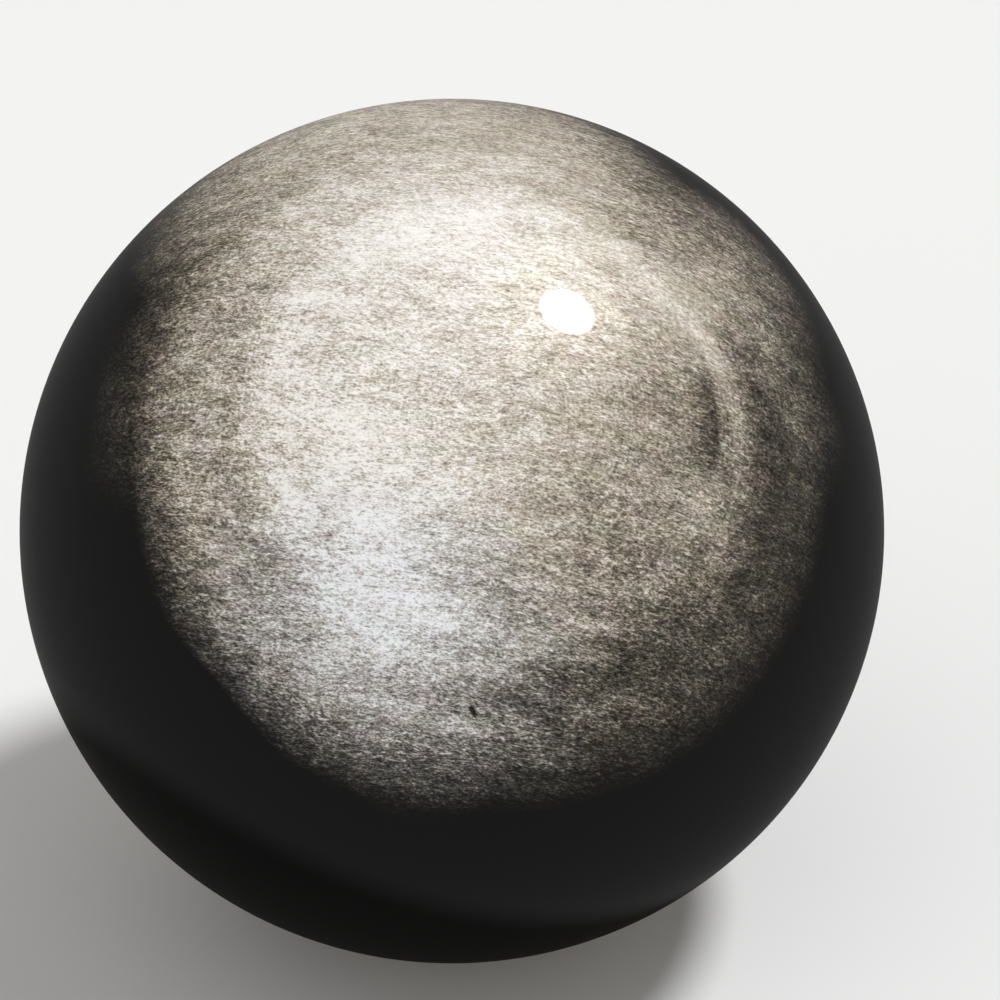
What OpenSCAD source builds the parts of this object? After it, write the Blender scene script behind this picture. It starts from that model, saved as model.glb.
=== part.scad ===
// Polished obsidian sphere
// A solid ball of volcanic glass, ground true and polished all over. Its
// polish has a few small scars: two short flakes on the front, one upright
// and one lying, and, low on the left, a nick with two pin pits beside it.
// The origin is the centre of the ball. +Z is up and -Y faces the front.

/* [Ball] */
// Diameter of the ball
ball_d = 80; // [40:1:120]

/* [Upright scar] */
// Width of the upright scar, from rim to rim
upright_w = 0.6; // [0.3:0.05:2]
// Length of the upright scar from end to end
upright_l = 1.3; // [0.8:0.1:4]
// Depth of the upright scar below the polish
upright_depth = 0.16; // [0.06:0.01:0.3]
// Lean of the upright scar, its foot towards +X
upright_lean = 24; // [-60:1:60]

/* [Lying scar] */
// Width of the lying scar, from rim to rim
lying_w = 0.45; // [0.3:0.05:2]
// Length of the lying scar from end to end
lying_l = 1; // [0.6:0.1:4]
// Depth of the lying scar below the polish
lying_depth = 0.11; // [0.06:0.01:0.3]
// Lean of the lying scar, turned on from upright
lying_lean = 78; // [45:1:135]

/* [Front scars] */
// Distance between the centres of the two front scars
front_gap = 1.5; // [1:0.1:8]
// Turn of the point midway between them from the front, towards +X
front_turn = 1.2; // [-30:0.1:30]
// Height of the front scars as an angle above the middle of the ball
front_height = 8; // [-30:1:60]

/* [Side nick] */
// Width of the nick
nick_w = 0.3; // [0.2:0.05:1]
// Length of the nick from end to end
nick_l = 0.9; // [0.5:0.1:4]
// Depth of the nick at its middle
nick_depth = 0.08; // [0.06:0.01:0.2]
// Turn of the nick round the ball from the front, towards +X
nick_turn = -39; // [-80:1:-20]
// Height of the nick as an angle above the middle of the ball
nick_height = -18; // [-60:1:30]
// Lean of the nick, its foot towards +X
nick_lean = 15; // [-60:1:60]

/* [Pin pits] */
// Width of each pin pit
pin_pit_w = 0.3; // [0.2:0.05:1]
// Depth of each pin pit
pin_pit_depth = 0.08; // [0.06:0.01:0.2]
// Distance from the nick to the nearer pin pit
pin_pit_lead = 4.4; // [1:0.1:8]
// Distance from one pin pit to the next
pin_pit_gap = 1.5; // [0.6:0.1:5]
// Direction from one pin pit to the next, below level
pin_pit_drop = 28; // [-90:1:90]

/* [Hidden] */

ball_r = ball_d / 2;
GLASS = [0.08, 0.07, 0.065];
BALL_FACETS = 180;
SCAR_FACETS = 36;

// Angle at the centre that spans a distance along the surface.
function arc_angle(distance) = distance / ball_r * 180 / PI;

// How far the polish falls away over half the width of a scar.
function crown(width) = ball_r - sqrt(ball_r * ball_r - width * width / 4);

// Radius of the scoop whose rim is `width` across and whose floor lies
// `depth` below the polish.
function scoop_r(width, depth) =
    let (sag = depth - crown(width)) (width * width / 4 + sag * sag) / (2 * sag);

// Stands +Z of its children on the polish, turned from the front towards
// +X and raised above the middle, both in degrees.
module on_polish(turn, height) {
    rotate([0, 90 - height, turn - 90]) translate([0, 0, ball_r]) children();
}

// Rounded flake scar, cut by one ball.
module scoop(width, depth) {
    cut_r = scoop_r(width, depth);
    translate([0, 0, cut_r - depth]) sphere(r = cut_r, $fn = SCAR_FACETS);
}

// Short groove with round ends, running up and down the ball before it
// leans. A lean turns its foot towards +X.
module groove(width, length, depth, lean) {
    cut_r = scoop_r(width, depth);
    reach = (length - width) / 2;
    rotate([0, 0, lean]) translate([0, 0, cut_r - depth]) {
        rotate([0, 90, 0]) cylinder(r = cut_r, h = 2 * reach, center = true, $fn = SCAR_FACETS);
        for (end = [-1, 1])
            translate([end * reach, 0, 0]) sphere(r = cut_r, $fn = SCAR_FACETS);
    }
}

module front_scars() {
    half_gap = arc_angle(front_gap) / 2;
    on_polish(front_turn + half_gap, front_height)
        groove(upright_w, upright_l, upright_depth, upright_lean);
    on_polish(front_turn - half_gap, front_height)
        groove(lying_w, lying_l, lying_depth, lying_lean);
}

// The nick, and two pin pits that lie one after the other away from it.
module side_scars() {
    lead = nick_turn + arc_angle(pin_pit_lead);
    step = arc_angle(pin_pit_gap);
    on_polish(nick_turn, nick_height) groove(nick_w, nick_l, nick_depth, nick_lean);
    for (i = [0, 1])
        on_polish(lead + i * step * cos(pin_pit_drop), nick_height - i * step * sin(pin_pit_drop))
            scoop(pin_pit_w, pin_pit_depth);
}

module sphere_blank() {
    sphere(d = ball_d, $fn = BALL_FACETS);
}

module obsidian_sphere() {
    color(GLASS) difference() {
        sphere_blank();
        front_scars();
        side_scars();
    }
}

obsidian_sphere();  // sphere
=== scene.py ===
"""A polished ball of silver-sheen obsidian, lying on a pale studio floor.

The ball is one piece. Its mesh is a fine octahedral sphere with the scars of the polish
carved in, and its material holds the grain, the rings and the two eyes of the sheen, whose
light is painted into the colour as a painted sheen.
"""

import math

import bmesh
import bpy
from mathutils import Matrix, Vector


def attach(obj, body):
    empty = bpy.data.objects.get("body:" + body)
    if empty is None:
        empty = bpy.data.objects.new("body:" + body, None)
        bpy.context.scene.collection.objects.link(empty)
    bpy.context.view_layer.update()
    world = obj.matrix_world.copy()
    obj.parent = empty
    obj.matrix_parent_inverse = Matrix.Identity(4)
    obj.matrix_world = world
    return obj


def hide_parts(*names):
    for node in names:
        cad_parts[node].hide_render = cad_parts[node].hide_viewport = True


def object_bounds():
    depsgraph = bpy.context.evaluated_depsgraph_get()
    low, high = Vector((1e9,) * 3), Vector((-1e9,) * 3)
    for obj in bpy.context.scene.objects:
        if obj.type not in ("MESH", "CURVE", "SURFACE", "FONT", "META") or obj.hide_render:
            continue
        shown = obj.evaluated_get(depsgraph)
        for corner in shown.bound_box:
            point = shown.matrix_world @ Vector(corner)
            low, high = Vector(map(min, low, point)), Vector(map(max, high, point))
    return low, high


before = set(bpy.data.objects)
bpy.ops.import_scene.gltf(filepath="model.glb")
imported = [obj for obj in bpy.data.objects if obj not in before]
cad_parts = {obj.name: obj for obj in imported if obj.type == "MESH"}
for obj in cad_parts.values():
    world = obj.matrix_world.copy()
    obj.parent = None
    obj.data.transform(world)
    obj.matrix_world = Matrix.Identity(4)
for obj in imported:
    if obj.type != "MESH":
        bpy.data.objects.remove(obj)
cad_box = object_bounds()

MM = 0.001
BALL_R = (cad_box[1].z - cad_box[0].z) / 2

# --- Measures of the ball -------------------------------------------------------------

# The ball starts as an octahedron whose edges are halved this many times. Round the scars
# they are halved further, until they are no longer than SCAR_EDGE.
BALL_LEVELS = 7
SCAR_EDGE = 0.04 * MM
# Half of the map's width. The rest is its margin.
MAP_HALF = 0.494

# The scars of the polish: widths, depths, lengths and gaps in mm, the rest in degrees. A turn
# goes from the front towards +X, and a lean takes the foot of a scar towards +X.
UPRIGHT_SCAR = {"width": 0.6, "depth": 0.16, "length": 1.3, "lean": 24.0}
LYING_SCAR = {"width": 0.45, "depth": 0.11, "length": 1.0, "lean": 78.0}
FRONT_TURN = 1.2
FRONT_HEIGHT = 8.0
FRONT_GAP = 1.5
NICK = {"width": 0.3, "depth": 0.08, "length": 0.9, "lean": 15.0}
NICK_TURN = -39.0
NICK_HEIGHT = -18.0
PIN_PIT = {"width": 0.3, "depth": 0.08}
PIN_PIT_LEAD = 4.4
PIN_PIT_GAP = 1.5
PIN_PIT_DROP = 28.0
# The floor of a scar is looked for down to this share of the radius, in so many halvings.
FLOOR_LIMIT = 0.98
FLOOR_HALVINGS = 24

# --- Measures of the sheen ------------------------------------------------------------

# The layers of inclusions lie across the axis of the eye and end in rings round it; the sheen
# that they send back is painted into the colour, a painted sheen. All bearings, distances and
# radii are in degrees: a bearing goes round the eye from its right, as up is 90, and a distance
# goes out from it.
EYE_TURN = 8.0
EYE_HEIGHT = 44.0

# Where the layers end: bearing and distance of their middle, radius, half width of the edge,
# and the share that goes on outside.
CORE_EDGE = (0.0, 0.0, 31.0, 4.0, 0.37)
ZONE_EDGE = (262.0, 2.6, 42.4, 7.0, 0.0)
# Rings of denser and of thinner glass: distance, half width and the share more or less.
BRIGHT_RING = (28.5, 2.5, 0.16)
DARK_RING = (34.5, 2.0, -0.15)
OUTER_RING = (41.0, 2.5, 0.12)

# Painted light: the sheen is painted weaker towards one side of the eye, as the light falls,
# and stronger towards the other: the bearing of the lit side, the sine of the distance over
# which the change goes on, and the strength at both ends.
PAINTED_LIGHT_BEARING = 155.0
PAINTED_LIGHT_REACH = 0.42
PAINTED_DIM_SIDE = 0.31
PAINTED_LIT_SIDE = 1.75

# Patches where the painted sheen is stronger or weaker: bearing, distance, radius, half width
# of the edge, and the strength that they add. First those in the core:
PAINTED_LIT_PATCH = (198.0, 18.0, 6.0, 10.0, 1.15)
LOW_PATCH = (228.0, 29.5, 6.0, 9.0, 1.3)
HIGH_PATCH = (98.0, 25.0, 4.0, 7.0, 0.6)
SIDE_PATCH = (28.0, 30.0, 4.0, 6.0, 0.40)
DIM_PATCH = (328.0, 25.0, 5.0, 8.0, 0.11)
# Then those in the softer glass round it, from the right over the top to the bottom:
CHEEK = (4.0, 43.0, 2.0, 10.0, 0.10)
SHOULDER = (33.0, 39.0, 8.0, 15.0, 0.46)
BROW = (68.0, 46.0, 6.0, 12.0, 0.24)
CROWN = (100.0, 49.0, 22.0, 17.0, 0.62)
TEMPLE = (130.0, 46.5, 6.0, 13.0, 0.21)
EAR = (150.0, 44.0, 3.0, 9.0, 0.12)
HAZE = (163.0, 39.0, 2.0, 20.0, 0.24)
HEEL = (217.0, 46.0, 4.0, 9.0, -0.06)
FOOT = (255.0, 40.0, 5.0, 10.0, 0.18)
PATCHES = (
    PAINTED_LIT_PATCH, LOW_PATCH, HIGH_PATCH, SIDE_PATCH, DIM_PATCH,
    CHEEK, SHOULDER, BROW, CROWN, TEMPLE, EAR, HAZE, HEEL, FOOT,
)

# Parts of rings: the ring's middle as a bearing and a distance, its radius, its width inside
# and outside that, the middle of the part, its reach, and the share more or less. On the
# right lie a dark lens, its bright rim and the dim glass outside the rim. One is below.
RIM_MIDDLE = (315.0, 6.0)
LENS = ((330.0, 3.0), 25.5, 5.5, 1.2, (355.0, 28.0), 11.5, -0.70)
LENS_RIM = (RIM_MIDDLE, 27.2, 1.6, 3.2, (356.0, 30.0), 26.0, 0.90)
SHADE = (RIM_MIDDLE, 32.0, 2.5, 9.0, (345.0, 36.0), 34.0, -0.50)
LOW_RIM = ((0.0, 0.0), 38.9, 2.5, 1.2, (262.0, 38.9), 24.0, 0.9)
RING_PARTS = (LENS, LENS_RIM, SHADE, LOW_RIM)
# A part is even over this share of its reach, and fades over the rest.
EVEN_SHARE = 0.4

# Thin layers show as faint lines round the eye: how many to a degree, and how stark.
LINE_RATE = 0.45
LINE_DEPTH = 0.7

# The flow, which drew out the inclusions: its turn, its height and how much it bends.
FLOW_TURN = 83.0
FLOW_HEIGHT = -10.0
FLOW_BEND = 0.4
# A slow swirl carries the rings and the grain along: its rate to the metre, how far it takes
# the rings as a share of the radius, and how far it takes the grain.
SWIRL_RATE = 45.0
RING_SWIRL = 0.05
GRAIN_SWIRL = 3.0 * MM

# The grain: length and width in mm, detail and roughness of the noise, and how stark.
CLOUDS = (3.6, 1.7, 3.0, 0.65)
COARSE = (0.75, 0.30, 1.0, 0.6)
FINE = (0.27, 0.14, 1.0, 0.5)
CLOUD_DEPTH = 2.6
COARSE_DEPTH = 3.0
FINE_DEPTH = 3.9
# Where few inclusions lie, the grain is starker in front. Where they are dense, from this
# strength on, it is starker at the low left. Both are given as a turn and a height, the
# cosines of the ends of the change, and how stark the grain is at both ends.
FRONT_WAY = (-11.0, 9.0)
THIN_GRAIN = (0.55, 0.9, 1.15, 1.5)
LEFT_WAY = (-60.0, -20.0)
DENSE_GRAIN = (-0.55, 0.65, 0.62, 1.18)
DENSE_STRENGTH = 0.7
# Takes back the light that starker grain adds on the whole.
STARK_LOSS = 0.25
FULL_LIGHT = 0.93

# Painted glints, bright dashes painted into the colour where long flat inclusions glint: their
# grain, which of it counts and how much, the strength from which and to which they come in,
# and their light.
GLINTS = (1.0, 0.21, 0.0, 0.5)
GLINT_SHARE = (0.19, 0.29, 0.0, 0.40)
GLINT_STRENGTH = (0.01, 0.35)
GLINT_LIGHT = 0.95

# Painted shade in the scars: the light of the sheen on their floors, and the depths in mm over
# which it goes back to full.
PAINTED_SCAR_SHADE = 0.08
SCAR_DEEP = 0.16
SCAR_SHALLOW = 0.005

# Colours of the sheen in its darks and in its lights, and the light that counts as either.
WARM_DARK = (1.15, 0.995, 0.785)
WARM_LIGHT = (1.035, 0.995, 0.95)
COOL_DARK = (1.08, 0.995, 0.895)
COOL_LIGHT = (0.985, 0.998, 1.03)
DARK_TO_LIGHT = (0.15, 0.95)
# The cosines of the front way between which the warm colours turn to the cool ones.
WARM_TO_COOL = (0.85, 0.975)
# Faint tints in the sheen: their grain, and how much of them is mixed in.
TINTS = (3.0, 1.8, 1.0, 0.6)
TINT_SHARE = 0.12
BARE_GLASS = (0.0010, 0.0007, 0.0006)

# The sheen is slightly metallic: how much, and the strength at which it is.
METAL_SHARE = 0.10
METAL_STRENGTH = 0.5

# --- Measures of the room -------------------------------------------------------------

# Lamps: turn from the front towards +X, height above the floor and width in degrees, power
# and colour.
KEY = (97.0, 64.3, 12.5, 2.4, (0.97, 0.985, 1.0))
FILL = (-35.0, 50.0, 75.0, 0.8, (1.0, 0.985, 0.96))
FLOOR_R = 5.0
FLOOR_TONE = (0.80, 0.795, 0.785)
# Tones of the room round the floor: the sine of the height at which each holds, and its colour.
ROOM_LOW = (0.08, (0.888, 0.889, 0.882))
ROOM_HIGH = (0.42, (0.22, 0.22, 0.22))

# The camera: its height in degrees, its distance, the ball's share of the view's width, and
# where the middle of the view lies from the ball's, in half widths of the view.
VIEW_HEIGHT = 30.0
VIEW_REACH = 8.0 * BALL_R
VIEW_SHARE = 0.8646
AIM_RIGHT = 0.0952
AIM_UP = 0.0604
SENSOR_WIDTH = 36.0


def toward(turn, height):
    """Unit vector turned from the front (-Y) towards +X, and raised, both in degrees."""
    turn, height = math.radians(turn), math.radians(height)
    return Vector((
        math.sin(turn) * math.cos(height),
        -math.cos(turn) * math.cos(height),
        math.sin(height),
    ))


def from_eye(bearing, distance):
    """Unit vector at a bearing and a distance from the eye, both in degrees."""
    eye = toward(EYE_TURN, EYE_HEIGHT)
    up = (Vector((0.0, 0.0, 1.0)) - eye.z * eye).normalized()
    right = up.cross(eye)
    bearing, distance = math.radians(bearing), math.radians(distance)
    aside = right * math.cos(bearing) + up * math.sin(bearing)
    return eye * math.cos(distance) + aside * math.sin(distance)


def place_in_scene(name, data):
    """Makes an object of a mesh, lamp or camera and adds it to the scene."""
    made = bpy.data.objects.new(name, data)
    bpy.context.scene.collection.objects.link(made)
    return made


# --- Shader maths ---------------------------------------------------------------------


class Value:
    """A number, vector or colour in a material, which takes part in Python expressions."""

    def __init__(self, graph, socket):
        self.graph = graph
        self.socket = socket

    def __add__(self, other):
        return self.graph.maths("ADD", self, other)

    def __radd__(self, other):
        return self.graph.maths("ADD", other, self)

    def __sub__(self, other):
        return self.graph.maths("SUBTRACT", self, other)

    def __rsub__(self, other):
        return self.graph.maths("SUBTRACT", other, self)

    def __mul__(self, other):
        return self.graph.maths("MULTIPLY", self, other)

    def __rmul__(self, other):
        return self.graph.maths("MULTIPLY", other, self)

    def __abs__(self):
        return self.graph.maths("ABSOLUTE", self)


class Graph:
    """Builds the nodes of one material, or of the world."""

    def __init__(self, owner):
        owner.use_nodes = True
        self.tree = owner.node_tree
        self.tree.nodes.clear()

    def node(self, kind, settings=None, sockets=None):
        """Adds a node: its settings first, then its sockets by name or number."""
        made = self.tree.nodes.new(kind)
        for key, setting in (settings or {}).items():
            if key == "stops":
                self.set_stops(made.color_ramp, setting)
            else:
                setattr(made, key, setting)
        for key, given in (sockets or {}).items():
            if isinstance(given, Value):
                self.tree.links.new(given.socket, made.inputs[key])
            else:
                made.inputs[key].default_value = given
        return made

    @staticmethod
    def set_stops(ramp, stops):
        """Gives a ramp its two stops."""
        for element, (place, colour) in zip(ramp.elements, stops):
            element.position = place
            element.color = rgb(*colour)

    def value(self, kind, settings=None, sockets=None, output=0):
        return Value(self, self.node(kind, settings, sockets).outputs[output])

    def maths(self, operation, *terms):
        return self.value("ShaderNodeMath", {"operation": operation}, dict(enumerate(terms)))

    def vector_maths(self, operation, *terms, output=0):
        sockets = dict(enumerate(terms))
        return self.value("ShaderNodeVectorMath", {"operation": operation}, sockets, output)

    def scaled(self, vector, factor):
        sockets = {0: vector, "Scale": factor}
        return self.value("ShaderNodeVectorMath", {"operation": "SCALE"}, sockets)

    def dot(self, way, direction):
        return self.vector_maths("DOT_PRODUCT", way, tuple(direction), output="Value")

    def degrees_from(self, way, direction):
        """Angle in degrees between a unit vector and a fixed direction."""
        return self.maths("ARCCOSINE", self.dot(way, direction)) * math.degrees(1.0)

    def smooth(self, value, low, high, to_low=0.0, to_high=1.0):
        """Goes smoothly from to_low to to_high as value goes from low to high."""
        settings = {"interpolation_type": "SMOOTHSTEP"}
        return self.value("ShaderNodeMapRange", settings, {
            0: value, 1: low, 2: high, 3: to_low, 4: to_high,
        })

    def mix(self, factor, a, b, blend="MIX"):
        """Mixes two colours, which have sockets 6 and 7 of the node."""
        settings = {"data_type": "RGBA", "blend_type": blend, "clamp_factor": True}
        return self.value("ShaderNodeMix", settings, {0: factor, 6: a, 7: b}, output=2)

    def noise(self, place, scale, detail, roughness, output=0):
        """Noise about 0.5: output 0 is a number, and output 1 is a colour."""
        return self.value("ShaderNodeTexNoise", None, {
            "Vector": place, "Scale": scale, "Detail": detail, "Roughness": roughness,
        }, output)


def rgb(red, green, blue):
    return (red, green, blue, 1.0)


# --- Materials ------------------------------------------------------------------------


def flow_place(g, place):
    """Place turned so that its X runs along the flow, which bends round the eyes."""
    along, eye = toward(FLOW_TURN, FLOW_HEIGHT), toward(EYE_TURN, EYE_HEIGHT)
    inward = (eye - eye.dot(along) * along).normalized()
    aside = g.dot(place, along)
    bow = aside * aside * g.maths("SIGN", g.dot(place, inward))
    bow = g.scaled(tuple(inward * (FLOW_BEND / BALL_R)), bow)
    turn = Matrix((along, inward.cross(along), inward)).to_euler()
    return g.value("ShaderNodeMapping", {"vector_type": "POINT"}, {
        "Vector": g.vector_maths("ADD", place, bow), "Rotation": tuple(turn),
    })


def streaks(g, flow, length, width, detail, roughness, output=0):
    """Noise in grains of a length and width in mm, about 0 unless it is a colour."""
    size = (1 / (length * MM), 1 / (width * MM), 1 / (width * MM))
    spread = g.vector_maths("MULTIPLY", flow, size)
    noise = g.noise(spread, 1.0, detail, roughness, output)
    return noise if output else noise - 0.5


def ring_part(g, way, middle, radius, inside, outside, part, reach, share):
    """What a part of a ring does to the strength: 1 away from it, and 1 + share in it."""
    from_middle = g.degrees_from(way, from_eye(*middle))
    ring = g.smooth(from_middle, radius - inside, radius)
    ring = ring * g.smooth(from_middle, radius + outside, radius)
    from_part = g.degrees_from(way, from_eye(*part))
    return ring * g.smooth(from_part, reach, EVEN_SHARE * reach, 0.0, share) + 1.0


def sheen_strength(g, out, swirl):
    """How much painted sheen, the light that the layers of inclusions send back, goes into the
    colour: 0 is bare glass.
    """
    eye = toward(EYE_TURN, EYE_HEIGHT)
    way = g.vector_maths("MULTIPLY_ADD", swirl, (RING_SWIRL,) * 3, out)
    # The back of the ball is the front, mirrored through the centre.
    way = g.scaled(way, g.maths("SIGN", g.dot(out, eye)))
    # Painted light: the sheen is painted stronger towards the lit side and weaker away from it.
    toward_painted_light = g.dot(way, from_eye(PAINTED_LIGHT_BEARING, 90.0))
    strength = g.smooth(toward_painted_light, -PAINTED_LIGHT_REACH, PAINTED_LIGHT_REACH, PAINTED_DIM_SIDE, PAINTED_LIT_SIDE)
    for bearing, distance, radius, edge, share in (CORE_EDGE, ZONE_EDGE):
        from_middle = g.degrees_from(way, from_eye(bearing, distance))
        strength = strength * g.smooth(from_middle, radius - edge, radius + edge, 1.0, share)
    away = g.degrees_from(way, eye)
    for distance, half_width, share in (BRIGHT_RING, DARK_RING, OUTER_RING):
        strength = strength * g.smooth(abs(away - distance), 0.0, half_width, 1.0 + share, 1.0)
    for measures in RING_PARTS:
        strength = strength * ring_part(g, way, *measures)
    lines = g.value("ShaderNodeTexNoise", {"noise_dimensions": "1D"}, {
        "W": away * LINE_RATE, "Detail": 2.0,
    })
    strength = strength * (1.0 + LINE_DEPTH * (lines - 0.5))
    for bearing, distance, radius, edge, amount in PATCHES:
        from_middle = g.degrees_from(way, from_eye(bearing, distance))
        strength = strength + g.smooth(from_middle, radius - edge, radius + edge, amount, 0.0)
    return g.maths("MAXIMUM", strength, 0.0)


def sheen_light(g, place, front, strength, flow):
    """The painted sheen in light and dark: inclusions drawn out along the flow, in clouds."""
    out = g.vector_maths("NORMALIZE", place)
    thin = g.smooth(front, *THIN_GRAIN)
    dense = g.smooth(g.dot(out, toward(*LEFT_WAY)), *DENSE_GRAIN)
    stark = g.smooth(strength, 0.0, DENSE_STRENGTH, thin, dense)
    coarse = streaks(g, flow, *COARSE) * COARSE_DEPTH
    fine = streaks(g, flow, *FINE) * FINE_DEPTH
    clouds = streaks(g, flow, *CLOUDS) * CLOUD_DEPTH
    grain = (coarse + fine + clouds) * stark - STARK_LOSS * stark * stark
    dark = g.maths("EXPONENT", strength * g.maths("EXPONENT", grain) * -1.0)
    light = FULL_LIGHT - FULL_LIGHT * dark

    # Here and there a painted glint, where an inclusion is long and flat.
    glint = g.smooth(streaks(g, flow, *GLINTS), *GLINT_SHARE)
    light = light + glint * g.smooth(strength, *GLINT_STRENGTH) * (GLINT_LIGHT - light)

    # Painted shade: the sheen is painted nearly out of the floors of the scars, in these
    # hollows.
    reach = g.vector_maths("LENGTH", place, output="Value")
    deep, shallow = BALL_R - SCAR_DEEP * MM, BALL_R - SCAR_SHALLOW * MM
    light = light * g.smooth(reach, deep, shallow, PAINTED_SCAR_SHADE, 1.0)
    return g.maths("MAXIMUM", light, 0.0)


def obsidian():
    """Black glass with a painted sheen in its colour, whose darks are warm and whose lights are
    neutral.
    """
    material = bpy.data.materials.new("silver_sheen_obsidian")
    g = Graph(material)
    place = g.value("ShaderNodeTexCoord", output="Object")
    out = g.vector_maths("NORMALIZE", place)
    front = g.dot(out, toward(*FRONT_WAY))
    swirl = g.noise(place, SWIRL_RATE, 2.0, 0.5, output=1)
    swirl = g.vector_maths("SUBTRACT", swirl, (0.5, 0.5, 0.5))
    strength = sheen_strength(g, out, swirl)
    flow = flow_place(g, g.vector_maths("MULTIPLY_ADD", swirl, (GRAIN_SWIRL,) * 3, place))
    light = sheen_light(g, place, front, strength, flow)

    lit = g.smooth(light, *DARK_TO_LIGHT)
    warm = g.mix(lit, rgb(*WARM_DARK), rgb(*WARM_LIGHT))
    cool = g.mix(lit, rgb(*COOL_DARK), rgb(*COOL_LIGHT))
    sheen = g.scaled(g.mix(g.smooth(front, *WARM_TO_COOL), warm, cool), light)
    tints = streaks(g, flow, *TINTS, output=1)
    sheen = g.mix(TINT_SHARE, sheen, tints, blend="SOFT_LIGHT")
    surface = g.value("ShaderNodeBsdfPrincipled", None, {
        "Base Color": g.mix(1.0, sheen, rgb(*BARE_GLASS), blend="ADD"),
        "Metallic": g.smooth(strength, 0.0, METAL_STRENGTH, 0.0, METAL_SHARE),
        "Roughness": 0.42,
        "IOR": 1.49,
        "Specular IOR Level": 0.0,
        "Coat Weight": 0.10,
        "Coat Roughness": 0.04,
        "Coat IOR": 1.9,
    })
    g.node("ShaderNodeOutputMaterial", None, {"Surface": surface})
    return material


def matt(name, tone):
    material = bpy.data.materials.new(name)
    g = Graph(material)
    surface = g.value("ShaderNodeBsdfPrincipled", None, {
        "Base Color": rgb(*tone),
        "Roughness": 0.9,
        "Specular IOR Level": 0.1,
    })
    g.node("ShaderNodeOutputMaterial", None, {"Surface": surface})
    return material


# --- The ball -------------------------------------------------------------------------


class Scar:
    """A flake scar: a ball, or a short round-ended bar, taken out of the polish."""

    def __init__(self, turn, height, width, depth, length=None, lean=0.0):
        length = length or width
        self.out = toward(turn, height)
        self.top = self.out * BALL_R
        half = width * MM / 2
        crown = BALL_R - math.sqrt(BALL_R ** 2 - half ** 2)
        sag = depth * MM - crown
        self.cut_r = (half ** 2 + sag ** 2) / (2 * sag)
        self.middle = self.out * (BALL_R - depth * MM + self.cut_r)
        up = Vector((0.0, 0.0, 1.0))
        up = (up - up.dot(self.out) * self.out).normalized()
        side = self.out.cross(up)
        self.along = up * math.cos(math.radians(lean)) + side * math.sin(math.radians(lean))
        self.reach = (length - width) * MM / 2
        self.size = length * MM / 2

    def inward(self, point):
        """The way from a point to the middle line of this cut."""
        way = self.middle - point
        step = max(-self.reach, min(self.reach, way.dot(self.along)))
        return way - self.along * step

    def holds(self, point):
        """True if this scar takes the point away."""
        return self.inward(point).length < self.cut_r

    def floor_normal(self, point):
        return self.inward(point).normalized()

    def floor(self, point):
        """The place on the scar's floor straight under a point of the polish."""
        low, high = FLOOR_LIMIT * BALL_R, BALL_R
        for _ in range(FLOOR_HALVINGS):
            middle = (low + high) / 2
            if self.holds(point.normalized() * middle):
                high = middle
            else:
                low = middle
        return point.normalized() * low


def degrees_along(distance):
    """Angle at the centre that spans a distance in mm along the polish."""
    return math.degrees(distance * MM / BALL_R)


def scars():
    """The two front scars, the nick on the left and the two pin pits beside it."""
    half_gap = degrees_along(FRONT_GAP) / 2
    pit_turn = NICK_TURN + degrees_along(PIN_PIT_LEAD)
    step, drop = degrees_along(PIN_PIT_GAP), math.radians(PIN_PIT_DROP)
    right, down = step * math.cos(drop), step * math.sin(drop)
    return (
        Scar(FRONT_TURN + half_gap, FRONT_HEIGHT, **UPRIGHT_SCAR),
        Scar(FRONT_TURN - half_gap, FRONT_HEIGHT, **LYING_SCAR),
        Scar(NICK_TURN, NICK_HEIGHT, **NICK),
        Scar(pit_turn, NICK_HEIGHT, **PIN_PIT),
        Scar(pit_turn + right, NICK_HEIGHT - down, **PIN_PIT),
    )


def to_ball(verts):
    for vert in verts:
        vert.co = vert.co.normalized() * BALL_R


def refine(bm, cuts):
    """Splits the faces round the scars in four, again and again, until they can hold a rim."""
    length = BALL_R * math.pi / 2 / 2 ** BALL_LEVELS
    while length > SCAR_EDGE:
        edges = set()
        for face in bm.faces:
            middle = face.calc_center_median()
            if any((middle - cut.top).length < 1.2 * cut.size + 2 * length for cut in cuts):
                edges.update(face.edges)
        close_over(edges)
        made = bmesh.ops.subdivide_edges(bm, edges=list(edges), cuts=1, use_grid_fill=True)
        to_ball([v for v in made["geom_inner"] if isinstance(v, bmesh.types.BMVert)])
        bmesh.ops.triangulate(bm, faces=bm.faces, quad_method="SHORT_EDGE")
        length /= 2


def close_over(edges):
    """Adds edges until each face has none, one or all three of its edges in the set."""
    grown = True
    while grown:
        grown = False
        for face in {face for edge in edges for face in edge.link_faces}:
            if sum(edge in edges for edge in face.edges) == 2:
                edges.update(face.edges)
                grown = True


def carve(bm, cuts):
    """Sinks the vertices inside each scar to its floor; returns the normal of every vertex."""
    bm.verts.index_update()
    normals = [vert.co.normalized() for vert in bm.verts]
    for cut in cuts:
        for vert in bm.verts:
            if (vert.co - cut.top).length < 1.5 * cut.size and cut.holds(vert.co):
                vert.co = cut.floor(vert.co)
                normals[vert.index] = cut.floor_normal(vert.co)
    return normals


def lay_out(bm, turned):
    """The map of the ball: an octahedron folded open, with the front eye in the middle."""
    layer = bm.loops.layers.uv.new("OFBake")
    to_eye = turned.inverted()
    for face in bm.faces:
        middle = to_eye @ face.calc_center_median()
        side = (math.copysign(1.0, middle.x), math.copysign(1.0, middle.y))
        for loop in face.loops:
            way = to_eye @ loop.vert.co
            total = abs(way.x) + abs(way.y) + abs(way.z)
            x, y = abs(way.x) / total, abs(way.y) / total
            if middle.z < 0.0:
                x, y = 1.0 - y, 1.0 - x
            loop[layer].uv = (0.5 + MAP_HALF * x * side[0], 0.5 + MAP_HALF * y * side[1])


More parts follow.
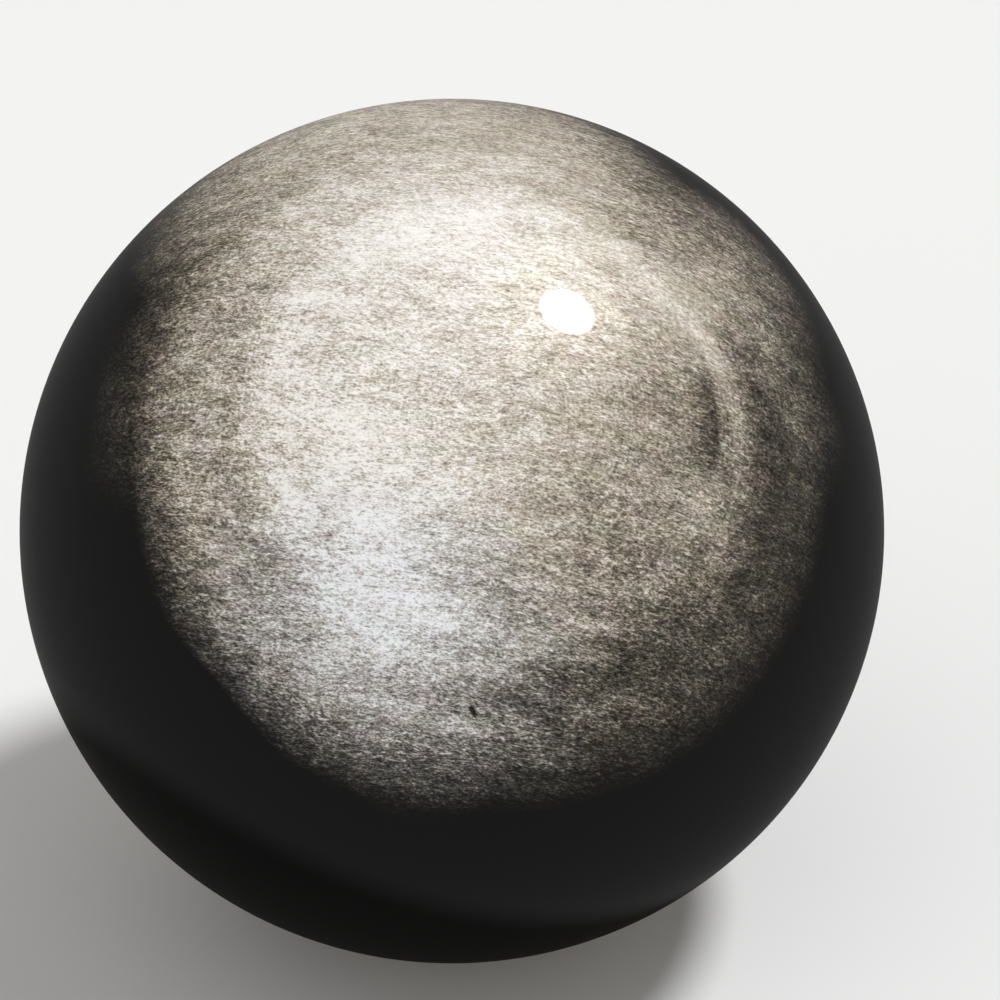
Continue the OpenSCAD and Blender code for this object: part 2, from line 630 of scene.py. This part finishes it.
def make_ball(material):
    bm = bmesh.new()
    bmesh.ops.create_uvsphere(bm, u_segments=4, v_segments=2, radius=BALL_R)
    turned = toward(EYE_TURN, EYE_HEIGHT).to_track_quat("Z", "Y").to_matrix()
    bmesh.ops.rotate(bm, verts=bm.verts, matrix=turned)
    for _ in range(BALL_LEVELS):
        bmesh.ops.subdivide_edges(bm, edges=bm.edges, cuts=1, use_grid_fill=True)
        to_ball(bm.verts)
    cuts = scars()
    refine(bm, cuts)
    bmesh.ops.recalc_face_normals(bm, faces=bm.faces)
    lay_out(bm, turned)
    normals = carve(bm, cuts)
    mesh = bpy.data.meshes.new("obsidian_ball")
    bm.to_mesh(mesh)
    bm.free()
    mesh.materials.append(material)
    mesh.shade_smooth()
    mesh.normals_split_custom_set_from_vertices(normals)
    return place_in_scene("obsidian_ball", mesh)


# --- The room -------------------------------------------------------------------------


def make_floor():
    bm = bmesh.new()
    bmesh.ops.create_circle(bm, cap_ends=True, segments=96, radius=FLOOR_R)
    bmesh.ops.translate(bm, verts=bm.verts, vec=(0.0, 0.0, cad_box[0].z))
    mesh = bpy.data.meshes.new("floor")
    bm.to_mesh(mesh)
    bm.free()
    mesh.materials.append(matt("pale_floor", FLOOR_TONE))
    floor = place_in_scene("floor", mesh)


def add_lamp(name, turn, height, width, power, tint, mirrored=True):
    """A distant soft lamp. Its power is the light on a face turned to it, where pi is plain."""
    lamp = bpy.data.lights.new(name, "SUN")
    lamp.angle = math.radians(width)
    lamp.energy = power
    lamp.color = tint
    holder = place_in_scene(name, lamp)
    holder.rotation_euler = toward(turn, height).to_track_quat("Z", "Y").to_euler()
    holder.visible_glossy = mirrored


def make_world():
    """The room round the floor: as pale as the floor's far edge low down, and grey above."""
    world = bpy.data.worlds.new("room")
    g = Graph(world)
    way = g.value("ShaderNodeTexCoord", output="Generated")
    height = g.value("ShaderNodeSeparateXYZ", None, {0: way}, output="Z")
    tone = g.value("ShaderNodeValToRGB", {"stops": (ROOM_LOW, ROOM_HIGH)}, {0: height})
    room = g.value("ShaderNodeBackground", None, {"Color": tone, "Strength": 1.0})
    g.node("ShaderNodeOutputWorld", None, {"Surface": room})
    bpy.context.scene.world = world


def make_camera():
    camera = bpy.data.cameras.new("camera")
    camera.sensor_width = SENSOR_WIDTH
    half_width = math.tan(math.asin(BALL_R / VIEW_REACH)) / VIEW_SHARE
    camera.lens = SENSOR_WIDTH / 2 / half_width
    camera.clip_start = 0.01
    camera.clip_end = 20.0
    holder = place_in_scene("camera", camera)
    back = toward(0.0, VIEW_HEIGHT)
    holder.location = back * VIEW_REACH
    right = Vector((1.0, 0.0, 0.0))
    up = back.cross(right)
    aside = right * AIM_RIGHT + up * AIM_UP
    aim = aside * half_width * VIEW_REACH - holder.location
    holder.rotation_euler = (-aim).to_track_quat("Z", "Y").to_euler()
    bpy.context.scene.camera = holder


ball = make_ball(obsidian())
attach(ball, "root")
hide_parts("sphere")
make_floor()
make_world()
add_lamp("key", *KEY)
add_lamp("fill", *FILL, mirrored=False)
make_camera()
bpy.context.scene.view_settings.view_transform = "Standard"
